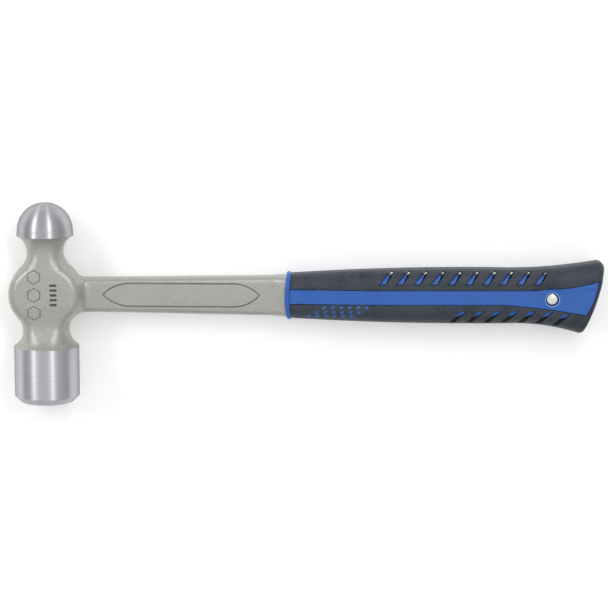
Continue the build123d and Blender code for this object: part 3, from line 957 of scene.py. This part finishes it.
def painted_forging():
    """Warm silver-grey paint over a forged surface: fine metallic fleck and a soft orange peel."""
    material, tree, shader, where = new_material("painted_forging")
    fleck = noise(tree, where, scale=2300.0, detail=3.0, roughness=0.75)
    cloud = noise(tree, where, scale=55.0, detail=3.0)
    peel = noise(tree, where, scale=1500.0, roughness=0.6)
    dark = (0.29, 0.28, 0.255)
    middle = (0.40, 0.39, 0.36)
    light = (0.58, 0.57, 0.535)
    fleck_colour = ramp(tree, fleck, (0.30, dark), (0.52, middle), (0.72, light))
    cloud_colour = ramp(tree, cloud, (0.3, (0.93,) * 3), (0.7, (1.0,) * 3))
    paint = mixed(tree, "MULTIPLY", 1.0, fleck_colour, cloud_colour)
    # The engraved grooves are darkened: partly dirt in them, partly painted shade
    in_groove = scaled_range(tree, point_values(tree, "groove"), 0.0, 0.7)
    groove_dirt_and_shade = (0.09, 0.085, 0.075, 1.0)
    normal = bump(tree, peel, strength=0.85, distance=0.00017)
    normal = bump(tree, fleck, strength=0.5, distance=0.00005, Normal=normal)
    fill(shader, Base_Color=mixed(tree, "MIX", in_groove, paint, groove_dirt_and_shade))
    fill(shader, Roughness=scaled_range(tree, fleck, 0.27, 0.45), Metallic=0.45)
    fill(shader, Normal=normal, Specular_Tint=(0.45, 0.44, 0.42, 1.0))
    fill(shader, Coat_Weight=0.65, Coat_Roughness=0.16, Coat_Normal=normal)
    return material


def turned_steel(name, tone):
    """Bright steel with the fine rings that a lathe leaves; tone scales its brightness."""
    material, tree, shader, where = new_material(name)
    across_rings = (0.6, 30.0, 0.6)
    stretched = add(tree, "Mapping", Vector=where, Scale=across_rings).outputs["Vector"]
    rings = noise(tree, stretched, scale=60.0, detail=3.0, roughness=0.7)
    fine = noise(tree, stretched, scale=210.0, roughness=0.6)
    cloud = noise(tree, where, scale=120.0)
    dark = (0.52 * tone, 0.53 * tone, 0.555 * tone)
    light = (0.60 * tone, 0.61 * tone, 0.635 * tone)
    normal = bump(tree, rings, strength=0.12, distance=0.00002)
    normal = bump(tree, fine, strength=0.1, distance=0.00001, Normal=normal)
    tangent = add(tree, "Tangent", direction_type="RADIAL", axis="Y").outputs["Tangent"]
    fill(shader, Base_Color=ramp(tree, rings, (0.25, dark), (0.75, light)))
    fill(shader, Roughness=scaled_range(tree, cloud, 0.38, 0.46), Normal=normal)
    fill(shader, Anisotropic=0.88, Anisotropic_Rotation=0.25, Tangent=tangent)
    fill(shader, Metallic=1.0, Specular_Tint=(0.5, 0.5, 0.52, 1.0))
    return material


def moulded(name, dark, light, grain_scale, roughness, depth, **finish):
    """A moulded polymer: fine grain in its height, a slow drift in its colour, and painted shade, near
    black, deep in its vents and grooves.
    """
    material, tree, shader, where = new_material(name)
    drift = noise(tree, where, scale=70.0, detail=3.0, roughness=0.6)
    grain = noise(tree, where, scale=grain_scale, roughness=0.6)
    colour = ramp(tree, maths(tree, "ADD", drift, grain), (0.75, dark), (1.25, light))
    # Painted shade: near black where the shade mark says a point lies deep in a vent, moat or groove
    painted_vent_shade = (0.002, 0.002, 0.003, 1.0)
    colour = mixed(tree, "MIX", point_values(tree, "shade"), colour, painted_vent_shade)
    normal = bump(tree, grain, strength=0.5, distance=depth)
    roughness = scaled_range(tree, grain, *roughness)
    fill(shader, Base_Color=colour, Roughness=roughness, Normal=normal, **finish)
    return material


def blue_polymer():
    """The core's satin blue polymer."""
    dark = (0.020, 0.094, 0.370)
    light = (0.026, 0.110, 0.410)
    gloss = (0.40, 0.52)
    return moulded("blue_polymer", dark, light, 1500.0, gloss, 0.00003, Specular_IOR_Level=0.35)


def highlight_lip_polymer():
    """The same blue polymer, smoother, and painted pale on the lip as a painted highlight."""
    dark = (0.16, 0.34, 0.72)
    light = (0.24, 0.44, 0.80)
    gloss = (0.2, 0.3)
    return moulded("highlight_lip_polymer", dark, light, 1500.0, gloss, 0.00001, Specular_IOR_Level=0.5)


def charcoal_rubber():
    """The overmould's soft dark rubber, with a coarser grain."""
    dark = (0.010, 0.0145, 0.0235)
    light = (0.030, 0.039, 0.056)
    gloss = (0.46, 0.70)
    finish = {"Specular_IOR_Level": 0.4, "Sheen_Weight": 0.08, "Sheen_Roughness": 0.5}
    return moulded("charcoal_rubber", dark, light, 1300.0, gloss, 0.00014, **finish)


def worn(name, scale, detail, dark, light, gloss, bump_strength, bump_distance, metallic):
    """A surface whose colour, gloss and height follow one fine noise; dark and light are stops."""
    material, tree, shader, where = new_material(name)
    wear = noise(tree, where, scale, detail, 0.6)
    colour = ramp(tree, wear, dark, light)
    roughness = scaled_range(tree, wear, *gloss)
    normal = bump(tree, wear, bump_strength, bump_distance)
    fill(shader, Base_Color=colour, Roughness=roughness, Normal=normal, Metallic=metallic)
    return material


def polished_steel():
    """The pin's bright steel, slightly smeared."""
    dark = (0.3, (0.78, 0.78, 0.76))
    light = (0.7, (0.88, 0.88, 0.86))
    return worn("polished_pin", 900.0, 2.0, dark, light, (0.05, 0.14), 0.1, 0.00002, 1.0)


def tang_steel():
    """The bare steel that shows in the upper vents."""
    dark = (0.3, (0.55, 0.55, 0.54))
    light = (0.7, (0.75, 0.75, 0.74))
    return worn("tang_steel", 500.0, 3.0, dark, light, (0.3, 0.45), 0.3, 0.00005, 0.9)


def mark_ink():
    """The black ink of the printed bars, a little worn."""
    dark = (0.3, (0.03, 0.03, 0.032))
    light = (0.75, (0.09, 0.09, 0.09))
    return worn("mark_ink", 1800.0, 2.0, dark, light, (0.5, 0.7), 0.3, 0.00004, 0.0)


def floor_paint():
    """A matt, almost white floor that glows faintly, so that its shadows stay pale."""
    material, tree, shader, where = new_material("pale_floor")
    cloud = noise(tree, where, scale=3.0)
    fill(shader, Base_Color=ramp(tree, cloud, (0.3, (0.86,) * 3), (0.7, (0.89,) * 3)))
    fill(shader, Roughness=0.9, Specular_IOR_Level=0.1)
    fill(shader, Emission_Color=(1.0,) * 4, Emission_Strength=0.22)
    return material


# Pieces


def subdivide_near(vertices, faces, chosen, levels):
    """Splits the chosen quads into 4, levels times, and leaves the others as they are.

    Split quads share the new points between them; whole quads keep only their four corners."""
    for _ in range(levels):
        quads = faces[chosen]
        others = faces[~chosen]
        edges = np.sort(np.stack([quads, np.roll(quads, -1, axis=1)], 2).reshape(-1, 2), axis=1)
        unique, edge_index = np.unique(edges, axis=0, return_inverse=True)
        edge_index = edge_index.reshape(len(quads), 4)
        middles = vertices[unique].mean(axis=1)
        centres = vertices[quads].mean(axis=1)
        first_middle = len(vertices)
        first_centre = first_middle + len(middles)
        vertices = np.concatenate([vertices, middles, centres])
        middle_ids = first_middle + edge_index
        centre_ids = first_centre + np.arange(len(quads))
        parts = []
        for i in range(4):
            part = [quads[:, i], middle_ids[:, i], centre_ids, middle_ids[:, i - 1]]
            parts.append(np.stack(part, 1))
        split = np.concatenate(parts)
        faces = np.concatenate([split, others])
        chosen = np.arange(len(faces)) < len(split)
    return vertices, faces


def forged_body(material):
    """The painted forging, with the leaf on both faces and the marks on the front cheek."""
    low = (-CHEEK_R, POLL_TOP_Y - BOX_MARGIN, -POLL_R)
    high = (COLLAR_START_X + SHANK_BOX_MARGIN, BALL_RIM_Y + BOX_MARGIN, POLL_R)
    vertices, faces = contour(forging_field, low, high, FORGING_CELL)
    x, y, z = vertices[faces].mean(axis=1).T
    near_leaf = (leaf_distance(x, y) < FINE_REACH) & (np.abs(z) > LEAF_ZONE_Z) & (x > LEAF_ZONE_X)
    near_mark = (mark_distance(x, y) < FINE_REACH) & (z > MARK_ZONE_Z)
    near_mark = near_mark & (np.abs(x - MARK_X) < MARK_ZONE_W)
    vertices, faces = subdivide_near(vertices, faces, near_leaf | near_mark, FINE_LEVELS)
    x, y, z = vertices.T
    on_shank = (x > LEAF_ZONE_X) & (np.abs(z) > LEAF_ZONE_Z)
    leaf_depth = groove_depth(leaf_distance(x, y), LEAF_GROOVE_W, LEAF_GROOVE_D)
    on_cheek = (z > MARK_ZONE_Z) & (x < MARK_ZONE_X)
    mark_depth = groove_depth(mark_distance(x, y), MARK_GROOVE_W, MARK_GROOVE_D)
    depth = np.where(on_shank, leaf_depth, 0.0) + np.where(on_cheek, mark_depth, 0.0)
    vertices[:, 2] -= np.sign(z) * depth
    piece = forging_piece("forged_body", vertices, faces.tolist(), 60.0, material)
    set_point_values(piece, "groove", depth / LEAF_GROOVE_D)


def surface_height(x, y):
    """The height of the forging's front surface over these points, found by halving."""
    low = np.zeros_like(x)
    high = np.full_like(x, CHEEK_T)
    for _ in range(24):
        middle = (low + high) / 2
        inside = forging_field(x, y, middle) < 0
        low = np.where(inside, middle, low)
        high = np.where(inside, high, middle)
    return low


def weight_bars(material):
    """Five short printed bars on the front cheek, where a weight mark would be."""
    vertices = []
    faces = []
    row_size = BAR_COLUMNS + 1
    across = np.linspace(BAR_X - BAR_L / 2, BAR_X + BAR_L / 2, row_size)
    for i in range(BAR_COUNT):
        middle_y = BAR_Y + BAR_PITCH * (i - (BAR_COUNT - 1) / 2)
        along = np.linspace(middle_y - BAR_W / 2, middle_y + BAR_W / 2, BAR_ROWS + 1)
        x, y = (grid.ravel() for grid in np.meshgrid(across, along))
        z = surface_height(x, y) + BAR_RAISE
        first = len(vertices)
        vertices += np.stack([x, y, z], 1).tolist()
        for row in range(BAR_ROWS):
            for column in range(BAR_COLUMNS):
                corner = first + row * row_size + column
                faces.append([corner, corner + 1, corner + row_size + 1, corner + row_size])
    forging_piece("weight_bars", vertices, faces, 60.0, material)


def turned_ball(material):
    """The ball, with a low straight rim and a small break at the rim's edge."""
    profile = [(0.0, BALL_RIM_Y), (UPPER_WAIST_R, BALL_RIM_Y), (BALL_RIM_R - BALL_RIM_EDGE, BALL_RIM_Y)]
    profile.append((BALL_RIM_R, BALL_RIM_Y + BALL_RIM_EDGE))
    profile.append((BALL_RIM_R - BALL_RIM_TAPER, BALL_RIM_Y + BALL_RIM_H))
    for i in range(BALL_STEPS):
        angle = pi / 2 * i / BALL_STEPS
        profile.append((BALL_R * cos(angle), BALL_Y + BALL_R * sin(angle)))
    profile.append((0.0, BALL_Y + BALL_R))
    forging_piece("turned_ball", *lathe(profile, TURNED_SIDES), 40.0, material)


def turned_poll(material):
    """The poll, with small breaks at its top edge and along both sides of its chamfer."""
    face_edge_r = POLL_R - POLL_CHAMFER - FACE_EDGE_START
    side_start_y = POLL_FACE_Y + POLL_CHAMFER
    side_length = POLL_TOP_Y - POLL_FACE_Y - POLL_CHAMFER
    profile = [(0.0, POLL_FACE_Y), (POLL_R * 0.4, POLL_FACE_Y)]
    for i in range(FACE_EDGE_STEPS + 1):
        share = i / FACE_EDGE_STEPS
        radius = face_edge_r + FACE_EDGE_W * share
        profile.append((radius, POLL_FACE_Y + FACE_EDGE_D * share**2))
    profile.append((POLL_R - SIDE_EDGE_W, side_start_y - SIDE_EDGE_H))
    profile.append((POLL_R - SIDE_EDGE_BREAK, side_start_y))
    for i in range(1, POLL_SIDE_RINGS):
        profile.append((POLL_R, side_start_y + i / POLL_SIDE_RINGS * side_length))
    profile += [(POLL_R, POLL_TOP_Y - TOP_EDGE_H), (POLL_R - TOP_EDGE_W, POLL_TOP_Y)]
    profile += [(LOWER_WAIST_R, POLL_TOP_Y), (0.0, POLL_TOP_Y)]
    forging_piece("turned_poll", *lathe(profile, TURNED_SIDES), 25.0, material)


def tang(material):
    low = (COLLAR_START_X, TANG_BOTTOM, -TOOTH_T / 2)
    high = (TANG_END_X, TOOTH_TOP, TOOTH_T / 2)
    vertices, faces = contour(tang_field, low, high, TANG_CELL)
    forging_piece("tang", vertices, faces.tolist(), 40.0, material)


def grip_piece(name, field, low, high, fade, material, node):
    """A piece of the grip, with a 0 to 1 mark of how deep each point lies in a vent or groove, which
    its material turns into painted shade.
    """
    vertices, faces = contour(field, low, high, GRIP_CELL)
    piece = new_piece(name, vertices, faces.tolist(), 35.0, material, node)
    depth = -grip_field(*vertices.T, 0.0)
    set_point_values(piece, "shade", smooth_step(*fade, depth))


def grip_core(material):
    low = (COLLAR_START_X, -COLLAR_H / 2, -COLLAR_T / 2)
    high = (BUTT_X, COLLAR_H / 2, COLLAR_T / 2)
    grip_piece("core", core_field, low, high, CORE_SHADE_FADE, material, "grip_core")


def overmould(material):
    low = (COLLAR_END_X, GRIP_LOWEST_Y, -GRIP_T / 2)
    high = (BUTT_X, GRIP_HIGHEST_Y, GRIP_T / 2)
    fade = COVER_SHADE_FADE
    grip_piece("overmould", overmould_field, low, high, fade, material, "grip_overmould")


def pin(material):
    """A straight pin with a broken edge and a slight dome at each end."""
    profile = [(0.0, -PIN_EDGE_Z - PIN_DOME)]
    for i in range(1, PIN_DOME_STEPS + 1):
        share = i / PIN_DOME_STEPS
        profile.append((share * (PIN_R - PIN_DOME_EDGE), -PIN_EDGE_Z - PIN_DOME * (1 - share**2)))
    profile.append((PIN_R - PIN_BREAK, -PIN_EDGE_Z + PIN_BREAK))
    profile.append((PIN_R, -PIN_EDGE_Z + PIN_BREAK_Z))
    profile += [(radius, -height) for radius, height in reversed(profile)]
    vertices, faces = lathe(profile, PIN_SIDES)
    turned = np.stack([vertices[:, 0] + PIN_X, -vertices[:, 2] + PIN_Y, vertices[:, 1]], 1)
    new_piece("pin", turned, faces, 30.0, material, "grip_pin")


def bead(side, first):
    """One side's bead, as vertices and faces that count them from first."""
    vertices = []
    faces = []
    for i in range(PIN_SIDES):
        angle = 2 * pi * i / PIN_SIDES
        here = first + i * PIN_BEAD_SIDES
        after = first + (i + 1) % PIN_SIDES * PIN_BEAD_SIDES
        for j in range(PIN_BEAD_SIDES):
            turn = 2 * pi * j / PIN_BEAD_SIDES
            radius = PIN_BEAD_R + PIN_BEAD_HALF_W * cos(turn)
            height = PIN_LIP_Z + PIN_BEAD_HALF_W * sin(turn)
            x = PIN_X + radius * cos(angle)
            y = PIN_Y + radius * sin(angle)
            vertices.append((x, y, side * height))
            k = (j + 1) % PIN_BEAD_SIDES
            corners = [here + j, after + j, after + k, here + k]
            faces.append(corners if side > 0 else corners[::-1])
    return vertices, faces


def pin_lip(material):
    """The small raised bead around the pin's recess, on both sides of the grip."""
    front, front_faces = bead(1.0, 0)
    back, back_faces = bead(-1.0, len(front))
    faces = front_faces + back_faces
    new_piece("pin_lip", front + back, faces, 60.0, material, "grip_core")


# Studio

# Camera: distances in metres, target in drawing millimetres
VIEW_DISTANCE = 1.457
VIEW_PITCH = radians(9.5)
VIEW_TARGET = (145.45, -5.1, 0.0)
VIEW_LENS = 153.0
VIEW_SENSOR = 36.0
VIEW_FAR = 20.0

# Strip lights beside the head: name, degrees from overhead, width in metres and power in watts
STRIPS = [("left_strip", -43.0, 0.12, 2.9), ("right_strip", 25.5, 0.11, 2.5)]
STRIP_LENGTH = 0.7
STRIP_DISTANCE = 0.9
STRIP_LIFT = radians(25.0)

# The room's brightness, and what is added overhead and on the ball's side
ROOM_LEVEL = 0.38
ROOM_OVERHEAD = 0.50
ROOM_BALL_SIDE = 0.06

FLOOR_HALF = 6.0


def aim(item, centre, right, back):
    """Puts a camera or light at centre, its X along right and its back towards back."""
    turn = Matrix((right, back.cross(right), back)).transposed().to_4x4()
    item.matrix_world = Matrix.Translation(centre) @ turn


def camera():
    """Above the hammer, tipped towards the ball, with the handle level in the picture."""
    data = bpy.data.cameras.new("camera")
    data.lens = VIEW_LENS
    data.sensor_width = VIEW_SENSOR
    data.clip_end = VIEW_FAR
    item = new_object("camera", data)
    target = Vector(place(VIEW_TARGET))
    back = Vector((0.0, sin(VIEW_PITCH), cos(VIEW_PITCH)))
    aim(item, target + back * VIEW_DISTANCE, Vector((1.0, 0.0, 0.0)), back)
    bpy.context.scene.camera = item


def strip_light(name, centre, target, width, power):
    """A light that faces the target, its length along the head's axis."""
    data = bpy.data.lights.new(name, "AREA")
    data.shape = "RECTANGLE"
    data.size = width
    data.size_y = STRIP_LENGTH
    data.energy = power
    item = new_object(name, data)
    back = (centre - target).normalized()
    aim(item, centre, Vector((0.0, 1.0, 0.0)).cross(back).normalized(), back)
    item.visible_camera = False


def room():
    """A soft white room, brighter overhead and a little brighter on the ball's side."""
    world = bpy.data.worlds.new("room")
    world.use_nodes = True
    tree = world.node_tree
    where = add(tree, "TexCoord").outputs["Generated"]
    parts = add(tree, "SeparateXYZ", Vector=where).outputs
    rising = maths(tree, "MULTIPLY_ADD", parts["Z"], ROOM_OVERHEAD, ROOM_LEVEL)
    strength = maths(tree, "MULTIPLY_ADD", parts["Y"], ROOM_BALL_SIDE, rising)
    fill(tree.nodes["Background"], Color=(1.0,) * 4, Strength=strength)
    return world


def floor():
    mesh = bpy.data.meshes.new("floor")
    size = FLOOR_HALF
    vertices = [(-size, -size, 0), (size, -size, 0), (size, size, 0), (-size, size, 0)]
    mesh.from_pydata(vertices, [], [(0, 1, 2, 3)])
    mesh.materials.append(floor_paint())
    ground = new_object("floor", mesh)
    ground.location.z = cad_box[0][2]


def studio():
    """Two strip lights beside the head, a bright room and a pale floor."""
    for name, degrees, width, power in STRIPS:
        angle = radians(degrees)
        sideways = Vector((sin(angle), 0.0, cos(angle)))
        lift = Vector((0.0, tan(STRIP_LIFT) * STRIP_DISTANCE, 0.0))
        strip_light(name, ORIGIN + sideways * STRIP_DISTANCE + lift, ORIGIN, width, power)
    bpy.context.scene.world = room()
    floor()
    bpy.context.scene.view_settings.view_transform = "Standard"


camera()
studio()
forged_body(painted_forging())
weight_bars(mark_ink())
# The ball takes a darker copy of the poll's turned steel: painted shade
turned_ball(turned_steel("turned_ball_steel_shaded", 0.86))
turned_poll(turned_steel("turned_poll_steel", 1.0))
tang(tang_steel())
grip_core(blue_polymer())
overmould(charcoal_rubber())
pin_lip(highlight_lip_polymer())
pin(polished_steel())
